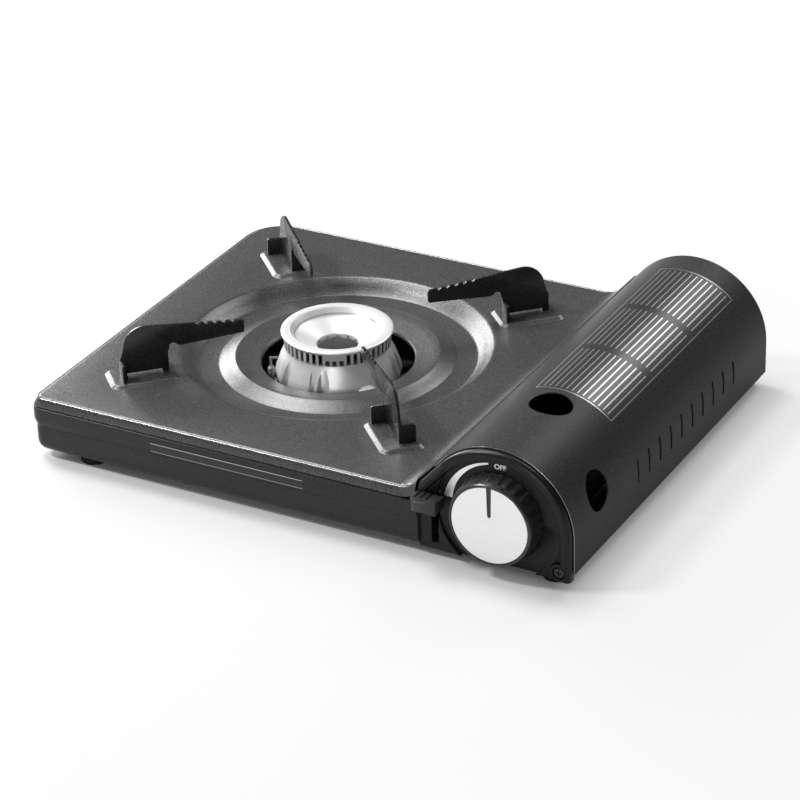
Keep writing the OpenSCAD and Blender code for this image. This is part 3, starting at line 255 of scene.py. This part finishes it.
def powder_coat(name, level, rough, grain, relief, gloss=1.2):
    """Powder coat or plastic: fine grains that catch the light, over a slightly uneven film."""
    coat = Finish(name, IOR=gloss)
    fine = coat.noise(grain, 2.0, 0.6)
    broad = coat.noise(grain / 9, 3.0, 0.55)
    speck = coat.between(fine, 0.0, 1.0, 0.36, 0.68)
    tone = coat.ramp(
        speck * 0.8 + broad * 0.2,
        (0.1, (level * 0.55,) * 3),
        (0.55, (level, level, level * 1.03)),
        (0.95, (level * 2.0, level * 2.0, level * 2.06)),
    )
    coat.feed(
        Base_Color=tone,
        Roughness=coat.between(broad, rough - 0.04, rough + 0.05, 0.3, 0.7),
        Normal=coat.bump(fine * 0.8 + broad * 0.4, relief, 0.8),
    )
    return coat


black_plastic = powder_coat("black_plastic", 0.008, 0.34, 2600, 0.00004, 1.30)
black_rubber = powder_coat("black_rubber", 0.014, 0.7, 1800, 0.00006)


def enamel(name, level, rough):
    """Thin black enamel over pressed sheet, a little glossier than the plate."""
    coat = Finish(name, IOR=1.5)
    film = coat.noise(500, 3.0, 0.6)
    tone = coat.ramp(film, (0.3, (level * 0.7,) * 3), (0.7, (level * 1.5,) * 3))
    coat.feed(
        Base_Color=tone,
        Roughness=coat.between(film, rough - 0.05, rough + 0.08, 0.3, 0.7),
        Normal=coat.bump(film, 0.00004, 0.6),
    )
    return coat


black_enamel = enamel("black_enamel", 0.010, 0.28)
black_screw = enamel("black_screw", 0.02, 0.3)


def metal(name, level, rough, relief=0.00003, scale=900, warmth=0.0):
    """Metal or pale ink with a fine uneven surface and small differences of tone."""
    sheet = Finish(name, Metallic=1.0)
    grain = sheet.noise(scale, 4.0, 0.6)
    cloud = sheet.noise(scale / 14, 3.0, 0.5)
    tone = sheet.mix(
        sheet.between(cloud, 0.0, 1.0, 0.3, 0.7), grey(level * 0.9, warmth), grey(level, warmth)
    )
    sheet.feed(
        Base_Color=tone,
        Roughness=sheet.between(grain, rough - 0.07, rough + 0.09, 0.3, 0.7),
        Normal=sheet.bump(grain, relief, 0.7),
    )
    return sheet


def brushed(name, level, rough):
    """Aluminium brushed from side to side, with fine long scratches."""
    sheet = Finish(name, Metallic=1.0)
    long_scratch = sheet.noise(1.0, 3.0, 0.6, sheet.stretched((60, 60, 5200)))
    fine_scratch = sheet.noise(1.0, 2.0, 0.5, sheet.stretched((220, 220, 9000)))
    both = long_scratch * 0.6 + fine_scratch * 0.4
    share = sheet.between(both, 0.0, 1.0, 0.35, 0.65)
    sheet.feed(
        Base_Color=sheet.mix(share, grey(level * 0.86), grey(level)),
        Roughness=sheet.between(both, rough - 0.08, rough + 0.1, 0.35, 0.65),
        Normal=sheet.bump(both, 0.00002, 0.5),
    )
    return sheet


def pressed_coat(name, level, rough, gloss, flake):
    """The coat of the hob plate, case and cover: dark grains with a metallic sheen."""
    coat = Finish(name, IOR=gloss, Metallic=flake)
    fine = coat.noise(2300, 2.0, 0.6)
    coarse = coat.noise(1000, 2.0, 0.5)
    grain = fine * 0.55 + coarse * 0.45
    tone = coat.ramp(
        grain,
        (0.34, (level * 0.78,) * 3),
        (0.50, (level, level, level * 1.02)),
        (0.64, (level * 1.8, level * 1.8, level * 1.84)),
    )
    coat.feed(
        Base_Color=tone,
        Roughness=coat.between(grain, rough - 0.04, rough + 0.05, 0.38, 0.62),
        Normal=coat.bump(grain, 0.00017, 0.75),
    )
    return coat


def cast(name, level, rough):
    """Cast aluminium, fine-grained and a little chalky, with painted shade down in the flame slots.
    """
    casting = Finish(name, Metallic=0.4)
    grain = casting.noise(1700, 3.0, 0.6)
    x, y, z = casting.axes()
    out = ((x - BURNER_X) * (x - BURNER_X) + (y - BURNER_Y) * (y - BURNER_Y)).power(0.5)
    inward = casting.between(out, 1.0, 0.0, *SLOT_OUTER)
    low = casting.between(z, 0.0, 1.0, *SLOT_FOOT)
    high = casting.between(z, 1.0, 0.0, *SLOT_TOP)
    far = casting.between(out, 0.0, 1.0, *SLOT_INNER)
    # painted shade: the colour goes near-black down in the flame slots, where they lie in shade
    painted_slot_shade = inward * low * high * far
    tone = casting.mix(
        casting.between(grain, 0.0, 1.0, 0.35, 0.65), grey(level * 0.9), grey(level)
    )
    casting.feed(
        Base_Color=casting.mix(painted_slot_shade, tone, grey(0.01)),
        Roughness=casting.between(grain, rough - 0.05, rough + 0.08, 0.3, 0.7),
        Normal=casting.bump(grain, 0.00008, 0.6),
    )
    return casting


def label_print(name, ground, ink, lines):
    """A printed label: dark ground, with pale rules where lines says."""
    label = Finish(name, IOR=1.45)
    film = label.noise(900, 2.0, 0.5)
    rules = lines(label)
    share = label.between(film, 0.0, 1.0, 0.3, 0.7)
    base = label.mix(share, grey(ground * 0.8), grey(ground * 1.2))
    label.feed(
        Base_Color=label.mix(rules, base, grey(ink)),
        Metallic=rules * 0.9,
        Roughness=label.between(film, 0.32, 0.42, 0.3, 0.7),
        Normal=label.bump(film, 0.00002, 0.5),
    )
    return label


def strip_rules(label):
    """One thin rule along the top of the front strip and one along its foot."""
    z = label.axes()[2]
    near_foot = label.between((z - (STRIP_LOW + 0.0006)).size(), 1.0, 0.0, 0.00012, 0.00022)
    near_top = label.between((z - (STRIP_TOP - 0.0006)).size(), 1.0, 0.0, 0.00012, 0.00022)
    return near_foot.larger(near_top)


def arch_rules(label):
    """A frame round the arch label, and a form of thin rules within it."""
    x, y, z = label.axes()
    round_arch = (x - ARCH_X).turn(z - ARCH_Z) * COVER_R
    across = round_arch - LABEL_FROM * COVER_R
    along = y - LABEL_Y0
    wide = (LABEL_TO - LABEL_FROM) * COVER_R
    deep = LABEL_Y1 - LABEL_Y0
    edge = across.smaller(wide - across)
    end = along.smaller(deep - along)
    inset = edge.smaller(end)
    frame_line = label.between((inset - 0.0011).size(), 1.0, 0.0, 0.00022, 0.00034)
    inside = label.between(inset, 0.0, 1.0, 0.0026, 0.0028)
    row = label.between((across.wrap(0.0034) - 0.0017).size(), 1.0, 0.0, 0.00030, 0.00042)
    block = (along.wrap(deep / 3) - deep / 6).size()
    column = label.between(block, 1.0, 0.0, deep / 6 - 0.0034, deep / 6 - 0.0030)
    return frame_line.larger(row * column * inside)


def lead_sleeve(name):
    """Red silicone sleeve of the spark lead, faintly uneven."""
    coat = Finish(name, IOR=1.42)
    film = coat.noise(900, 3.0, 0.6)
    coat.feed(
        Base_Color=coat.ramp(film, (0.3, (0.50, 0.045, 0.035)), (0.7, (0.75, 0.10, 0.08))),
        Roughness=coat.between(film, 0.38, 0.52, 0.3, 0.7),
        Normal=coat.bump(film, 0.00002, 0.5),
    )
    return coat


plate_black = pressed_coat("plate_black", 0.072, 0.30, 1.45, 0.5)
textured_black = pressed_coat("textured_black", 0.028, 0.34, 1.25, 0.08)
plated_steel = metal("plated_steel", 0.55, 0.32)
bare_aluminium = metal("bare_aluminium", 0.45, 0.34)
cast_aluminium = cast("cast_aluminium", 0.66, 0.36)
machined_brass = metal("machined_brass", 0.6, 0.28, 0.00002, 700, 0.3)
brushed_disc = brushed("brushed_disc", 0.93, 0.34)
natural_plastic = powder_coat("natural_plastic", 0.6, 0.45, 1200, 0.00003, 1.45)
white_ceramic = powder_coat("white_ceramic", 0.22, 0.25, 900, 0.00002, 1.5)
red_lead = lead_sleeve("red_lead")
cover_black = pressed_coat("cover_black", 0.036, 0.34, 1.12, 0.07)
# painted highlight: the cover's black front edge gets a pale metal finish that stands in for the
# highlight along it
painted_highlight_lip = metal("painted_highlight_lip", 0.30, 0.30, 0.00002, 1500)
# painted highlight: the plate's black rolled bead gets a paler metal finish that stands in for the
# highlight along it
painted_highlight_bead = metal("painted_highlight_bead", 0.15, 0.27, 0.00001, 1500)
knob_black = powder_coat("knob_black", 0.020, 0.30, 2200, 0.00004, 1.5)
white_ink = metal("white_ink", 0.97, 0.42, 0.00001, 1500)
front_label = label_print("front_label", 0.012, 0.55, strip_rules)
arch_label = label_print("arch_label", 0.020, 0.40, arch_rules)

FINISHES = {
    "textured_black": textured_black,
    "black_enamel": black_enamel,
    "plated_steel": plated_steel,
    "bare_aluminium": bare_aluminium,
    "cast_aluminium": cast_aluminium,
    "brushed_disc": brushed_disc,
    "machined_brass": machined_brass,
    "black_rubber": black_rubber,
    "black_plastic": black_plastic,
    "natural_plastic": natural_plastic,
    "white_ceramic": white_ceramic,
    "red_lead": red_lead,
    "black_screw": black_screw,
}


# ---------------------------------------------------------------- shapes


def finished_copy(node_name, finish, edge):
    """A CAD node's own form, merged, with its hard edges rounded by edge, as a finished piece."""
    node = frame["nodes"][node_name]
    form = bmesh.new()
    form.from_mesh(node.data)
    bmesh.ops.remove_doubles(form, verts=form.verts, dist=2e-7)
    bmesh.ops.dissolve_degenerate(form, dist=1e-7, edges=form.edges)
    name, body = node_name + "_dressed", node["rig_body"]
    return settled(form, name, finish, body, [node_name], edge)


def settled(form, name, finish, body, replaced=(), edge=0.0, sharp=28):
    """The form as an object that rides on its body."""
    if edge:
        hard = [
            e
            for e in form.edges
            if len(e.link_faces) == 2 and e.calc_face_angle(0) > math.radians(sharp)
        ]
        bmesh.ops.bevel(
            form,
            geom=hard,
            offset=edge,
            offset_type="OFFSET",
            segments=2,
            profile=0.5,
            affect="EDGES",
            material=-1,
            clamp_overlap=True,
        )
    for face in form.faces:
        face.smooth = True
    for line in form.edges:
        if len(line.link_faces) == 2 and line.calc_face_angle(0) > math.radians(sharp):
            line.smooth = False
    mesh = bpy.data.meshes.new(name)
    form.to_mesh(mesh)
    form.free()
    piece = bpy.data.objects.new(name, mesh)
    bpy.context.scene.collection.objects.link(piece)
    piece.data.materials.append(finish.material)
    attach(piece, body)
    if replaced:
        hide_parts(*replaced)
    return piece


slots = {part["node"]: part["material_slot"] for part in frame["record"]["subparts"]}

OWN_FINISH = {
    "top_plate": plate_black,
    "cover": cover_black,
    "knob": knob_black,
    "thumb_pad": knob_black,
    "front_frame": black_plastic,
    "control_panel": black_plastic,
}
ROUNDED = {
    "pot_support_front_left": 0.00028,
    "pot_support_front_right": 0.00028,
    "pot_support_back_left": 0.00028,
    "pot_support_back_right": 0.00028,
    "thumb_pad": 0.0004,
    "front_frame": 0.0003,
    "control_panel": 0.0003,
    "knob_disc": 0.00012,
    "lower_case": 0.0002,
}

for node_name in frame["nodes"]:
    finish = OWN_FINISH.get(node_name, FINISHES[slots[node_name]])
    finished_copy(node_name, finish, ROUNDED.get(node_name, 0.0))


def support_pad(number):
    """A raised pad of the hob plate under a pot support, with a broad rounded lip."""
    form = bmesh.new()
    bmesh.ops.create_grid(form, x_segments=1, y_segments=1, size=0.5)
    bmesh.ops.scale(form, vec=(PAD_LENGTH, PAD_WIDTH, 1), verts=form.verts)
    bmesh.ops.bevel(
        form, geom=form.verts[:], offset=PAD_CORNER, offset_type="OFFSET", segments=6,
        profile=0.5, affect="VERTICES", material=-1,
    )
    face = list(form.faces)
    for inset, rise in PAD_LIP:
        bmesh.ops.inset_region(
            form, faces=face, thickness=inset, depth=0, use_even_offset=True, use_boundary=True
        )
        bmesh.ops.translate(form, vec=(0, 0, rise), verts=list({v for f in face for v in f.verts}))
    place = (
        Matrix.Translation((BURNER_X, BURNER_Y, PLATE_Z - PAD_SINK))
        @ Matrix.Rotation(math.radians(45 + 90 * number), 4, "Z")
        @ Matrix.Translation((PAD_OUT, 0, 0))
    )
    bmesh.ops.transform(form, matrix=place, verts=form.verts)
    name = "support_pad_%d" % (number + 1)
    return settled(form, name, plate_black, "hob_plate", sharp=50)


def verts_of(geometry):
    """The vertices among what a bmesh operator made."""
    return [g for g in geometry if isinstance(g, bmesh.types.BMVert)]


def edges_of(geometry):
    """The edges among what a bmesh operator made."""
    return [g for g in geometry if isinstance(g, bmesh.types.BMEdge)]


def cover_lip():
    """The cover's rolled front edge, from the seam over the arch and down the right side, in a pale
    metal finish that paints its highlight.
    """
    form = bmesh.new()
    ring = bmesh.ops.create_circle(form, segments=12, radius=LIP_R, cap_ends=False)["verts"]
    start = math.atan2(SEAM_Z + SLOPE_RISE - ARCH_Z, SEAM_X + SLOPE_RUN - ARCH_X)
    reach = COVER_R - LIP_INSET
    place = (
        Matrix.Translation((ARCH_X, COVER_FRONT + LIP_BACK, ARCH_Z))
        @ Matrix.Rotation(-start, 4, "Y")
        @ Matrix.Translation((reach, 0, 0))
    )
    bmesh.ops.transform(form, matrix=place, verts=ring)
    first = list(form.edges)
    bmesh.ops.spin(
        form, geom=form.verts[:] + form.edges[:], cent=(ARCH_X, 0, ARCH_Z), axis=(0, 1, 0),
        dvec=(0, 0, 0), angle=start, steps=48, use_merge=False, use_duplicate=False,
    )
    foot = [e for e in form.edges if all(abs(v.co.z - ARCH_Z) < 1e-6 for v in e.verts)]
    drop = bmesh.ops.extrude_edge_only(form, edges=foot)["geom"]
    bmesh.ops.translate(form, vec=(0, 0, COVER_SKIRT - ARCH_Z), verts=verts_of(drop))
    slope = bmesh.ops.extrude_edge_only(form, edges=first)["geom"]
    bmesh.ops.translate(form, vec=(-SLOPE_RUN, 0, -SLOPE_RISE), verts=verts_of(slope))
    bmesh.ops.holes_fill(form, edges=[e for e in form.edges if e.is_boundary], sides=0)
    bmesh.ops.recalc_face_normals(form, faces=form.faces)
    return settled(form, "cover_lip", painted_highlight_lip, "cover", sharp=60)


def rolled_edge():
    """The bead rolled along the hob plate's front, left and back edges, in a paler metal finish
    that paints its highlight.
    """
    form = bmesh.new()
    ring = bmesh.ops.create_circle(form, segments=12, radius=BEAD_R, cap_ends=False)["verts"]
    front, back = WALL_FRONT - BEAD_OFFSET, BEAD_BACK + BEAD_OFFSET
    place = (
        Matrix.Translation((BEND_X, front, PLATE_Z + BEND_R))
        @ Matrix.Rotation(-BEND_LEAN, 4, "Y")
        @ Matrix.Translation((0, 0, -BEND_R - BEAD_DROP))
        @ Matrix.Rotation(math.radians(90), 4, "Y")
    )
    bmesh.ops.transform(form, matrix=place, verts=ring)
    live = form.verts[:] + form.edges[:]

    def bend(centre, axis, angle, steps):
        made = bmesh.ops.spin(
            form, geom=live, cent=centre, axis=axis, dvec=(0, 0, 0), angle=angle,
            steps=steps, use_merge=False, use_duplicate=False,
        )
        return made["geom_last"]

    def run(way):
        made = bmesh.ops.extrude_edge_only(form, edges=edges_of(live))["geom"]
        tip = verts_of(made)
        bmesh.ops.translate(form, vec=way, verts=tip)
        return tip + [g for g in edges_of(made) if all(v in tip for v in g.verts)]

    near, far = FRONT_CORNER_R + BEAD_OFFSET, BACK_CORNER_R + BEAD_OFFSET
    left = BEAD_LEFT - BEAD_OFFSET
    live = bend((BEND_X, 0, PLATE_Z + BEND_R), (0, 1, 0), BEND_LEAN, 10)
    live = run((left + near - BEND_X, 0, 0))
    live = bend((left + near, front + near, 0), (0, 0, 1), math.radians(-90), 10)
    live = run((0, back - far - front - near, 0))
    live = bend((left + far, back - far, 0), (0, 0, 1), math.radians(-90), 16)
    live = run((BEND_X - left - far, 0, 0))
    live = bend((BEND_X, 0, PLATE_Z + BEND_R), (0, 1, 0), -BEND_LEAN, 10)
    bmesh.ops.holes_fill(form, edges=[e for e in form.edges if e.is_boundary], sides=0)
    bmesh.ops.recalc_face_normals(form, faces=form.faces)
    return settled(form, "rolled_edge", painted_highlight_bead, "hob_plate", sharp=60)


def arch_label_sheet():
    """The bare printed label that lies on the cover's arch."""
    form = bmesh.new()
    reach = COVER_R + PRINT_LIFT
    low = form.verts.new((ARCH_X, LABEL_Y0, ARCH_Z + reach))
    high = form.verts.new((ARCH_X, LABEL_Y1, ARCH_Z + reach))
    line = form.edges.new((low, high))
    bmesh.ops.rotate(
        form, cent=(ARCH_X, 0, ARCH_Z), matrix=Matrix.Rotation(LABEL_FROM, 3, "Y"), verts=form.verts
    )
    bmesh.ops.spin(
        form, geom=[low, high, line], cent=(ARCH_X, 0, ARCH_Z), axis=(0, 1, 0), dvec=(0, 0, 0),
        angle=LABEL_TO - LABEL_FROM, steps=32, use_merge=False, use_duplicate=False,
    )
    outward(form, lambda c: Vector((c.x - ARCH_X, 0, c.z - ARCH_Z)))
    return settled(form, "arch_label", arch_label, "cover")


def outward(form, way):
    """Turns the faces that point against way, given at each face's middle."""
    form.normal_update()
    wrong = [f for f in form.faces if f.normal.dot(way(f.calc_center_median())) < 0]
    if wrong:
        bmesh.ops.reverse_faces(form, faces=wrong)


def front_strip():
    """The bare name strip on the bulged front wall."""
    form = bmesh.new()
    chain = []
    for step in range(8):
        z = STRIP_LOW + (STRIP_TOP - STRIP_LOW) * step / 7
        fall = 0 if z >= BULGE_Z else BULGE_R - math.sqrt(BULGE_R**2 - (BULGE_Z - z) ** 2)
        y = WALL_FRONT - BULGE_OUT + fall - STRIP_LIFT
        chain.append(form.verts.new((STRIP_LEFT, y, z)))
    edges = [form.edges.new(pair) for pair in zip(chain, chain[1:])]
    sheet = bmesh.ops.extrude_edge_only(form, edges=edges)["geom"]
    bmesh.ops.translate(form, vec=(STRIP_RIGHT - STRIP_LEFT, 0, 0), verts=verts_of(sheet))
    outward(form, lambda c: Vector((0, -1, 0)))
    return settled(form, "front_strip", front_label, "case")


def flame_mark():
    """The white mark beside the knob, broad at its foot and drawn out to a point at the top."""
    form = bmesh.new()
    sides = []
    for cx, cz, radius, foot, top in (MARK_OUTER, MARK_INNER):
        a = math.radians(foot)
        point = form.verts.new(
            (cx + radius * math.cos(a), WELL_FLOOR - PRINT_LIFT, cz + radius * math.sin(a))
        )
        known = set(form.edges)
        bmesh.ops.spin(
            form, geom=[point], cent=(cx, 0, cz), axis=(0, 1, 0), dvec=(0, 0, 0),
            angle=math.radians(foot - top), steps=28, use_merge=False, use_duplicate=False,
        )
        sides += [e for e in form.edges if e not in known]
    bmesh.ops.bridge_loops(form, edges=sides)
    outward(form, lambda c: Vector((0, -1, 0)))
    return settled(form, "flame_mark", white_ink, "case")


def off_mark():
    """The word OFF at the top of the knob's well."""
    text = bpy.data.curves.new("off_letters", "FONT")
    text.body = "OFF"
    text.size = WORD_SIZE
    text.align_x = "CENTER"
    text.offset = WORD_WEIGHT
    holder = bpy.data.objects.new("off_letters", text)
    bpy.context.scene.collection.objects.link(holder)
    bpy.context.view_layer.update()
    letters = bpy.data.meshes.new_from_object(holder)
    bpy.data.objects.remove(holder)
    form = bmesh.new()
    form.from_mesh(letters)
    place = Matrix.Translation((WORD_X, WELL_FLOOR - PRINT_LIFT, WORD_Z)) @ Matrix.Rotation(
        math.radians(90), 4, "X"
    )
    bmesh.ops.transform(form, matrix=place, verts=form.verts)
    outward(form, lambda c: Vector((0, -1, 0)))
    return settled(form, "off_mark", white_ink, "case")


for corner in range(4):
    support_pad(corner)
rolled_edge()
cover_lip()
arch_label_sheet()
front_strip()
flame_mark()
off_mark()


# ---------------------------------------------------------------- stage


def floor_finish():
    """A white floor that keeps the stove's shadow, and gives off no light under its base."""
    floor = Finish("white_floor", Roughness=0.9)
    floor.shader.inputs["Base Color"].default_value = (0.5, 0.5, 0.5, 1)
    light = floor.tree.nodes.new("ShaderNodeEmission")
    seen = floor.node("ShaderNodeLightPath", output="Is Camera Ray")
    glossy = floor.node("ShaderNodeLightPath", output="Is Glossy Ray")
    through = floor.node("ShaderNodeLightPath", output="Is Transmission Ray")
    x, y = floor.axes()[:2]
    far = (x * x + y * y).power(0.5)
    beyond = (x.size() - 0.165).larger(y.size() - 0.130)
    clear = floor.between(beyond, 0.0, 1.0, -0.01, 0.03)
    fade = floor.between(far, 0.60, 1.0, 0.25, 0.7) * clear
    blend = floor.tree.nodes.new("ShaderNodeMixShader")
    share = (seen + glossy + through) * fade
    floor.tree.links.new(share.socket, blend.inputs[0])
    floor.tree.links.new(floor.shader.outputs[0], blend.inputs[1])
    floor.tree.links.new(light.outputs[0], blend.inputs[2])
    out = floor.tree.nodes["Material Output"]
    floor.tree.links.new(blend.outputs[0], out.inputs["Surface"])
    return floor


def stage_floor():
    """The floor, out to 6 m each way."""
    form = bmesh.new()
    bmesh.ops.create_grid(form, x_segments=1, y_segments=1, size=6)
    mesh = bpy.data.meshes.new("floor")
    form.to_mesh(mesh)
    form.free()
    floor = bpy.data.objects.new("floor", mesh)
    bpy.context.scene.collection.objects.link(floor)
    floor.data.materials.append(floor_finish().material)


def studio_world():
    """A dim even surround."""
    world = bpy.data.worlds.new("studio")
    bpy.context.scene.world = world
    world.use_nodes = True
    tree = world.node_tree
    tree.nodes.clear()
    soft = tree.nodes.new("ShaderNodeBackground")
    soft.inputs["Color"].default_value = (1, 1, 1, 1)
    soft.inputs["Strength"].default_value = 0.10
    out = tree.nodes.new("ShaderNodeOutputWorld")
    tree.links.new(soft.outputs[0], out.inputs["Surface"])


def soft_box(name, direction, distance, size, power, target=(0, 0, 0.03)):
    """A rectangular lamp that faces target from a direction and distance."""
    light = bpy.data.lights.new(name, "AREA")
    light.shape = "RECTANGLE"
    light.size, light.size_y = size
    light.energy = power
    lamp = bpy.data.objects.new(name, light)
    bpy.context.scene.collection.objects.link(lamp)
    way = Vector(direction).normalized()
    lamp.location = Vector(target) + way * distance
    lamp.rotation_mode = "QUATERNION"
    lamp.rotation_quaternion = way.to_track_quat("Z", "Y")


def view_camera():
    """A long lens that looks from the front right and above."""
    azimuth, elevation = math.radians(CAMERA_TURN), math.radians(CAMERA_RISE)
    roll = math.radians(CAMERA_ROLL)
    back = Vector(
        (
            math.sin(azimuth) * math.cos(elevation),
            -math.cos(azimuth) * math.cos(elevation),
            math.sin(elevation),
        )
    )
    level = Vector((math.cos(azimuth), math.sin(azimuth), 0))
    up = back.cross(level)
    right = math.cos(roll) * level + math.sin(roll) * up
    top = -math.sin(roll) * level + math.cos(roll) * up
    data = bpy.data.cameras.new("camera")
    data.lens = CAMERA_LENS
    data.sensor_width = SENSOR_WIDTH
    data.clip_start = 0.05
    camera = bpy.data.objects.new("camera", data)
    bpy.context.scene.collection.objects.link(camera)
    place = Vector(CAMERA_TARGET) + back * CAMERA_DISTANCE
    camera.matrix_world = Matrix.Translation(place) @ Matrix(
        (
            (right.x, top.x, back.x, 0),
            (right.y, top.y, back.y, 0),
            (right.z, top.z, back.z, 0),
            (0, 0, 0, 1),
        )
    )
    bpy.context.scene.camera = camera


stage_floor()
studio_world()
soft_box("left_window", (-0.85, 0.41, 0.34), 1.8, (0.9, 0.7), 27)
soft_box("overhead", (-0.43, 0.12, 0.88), 1.8, (0.5, 0.8), 28)
soft_box("arch_light", (0.10, 0.77, 0.63), 0.9, (0.35, 0.35), 3, (0.147, -0.09, 0.07))
soft_box("key", (-0.58, -0.35, 0.735), 1.8, (0.25, 0.25), 26)
soft_box("front_fill", (0.25, -0.90, 0.35), 1.8, (0.6, 0.6), 9)
view_camera()
bpy.context.scene.view_settings.view_transform = "Standard"
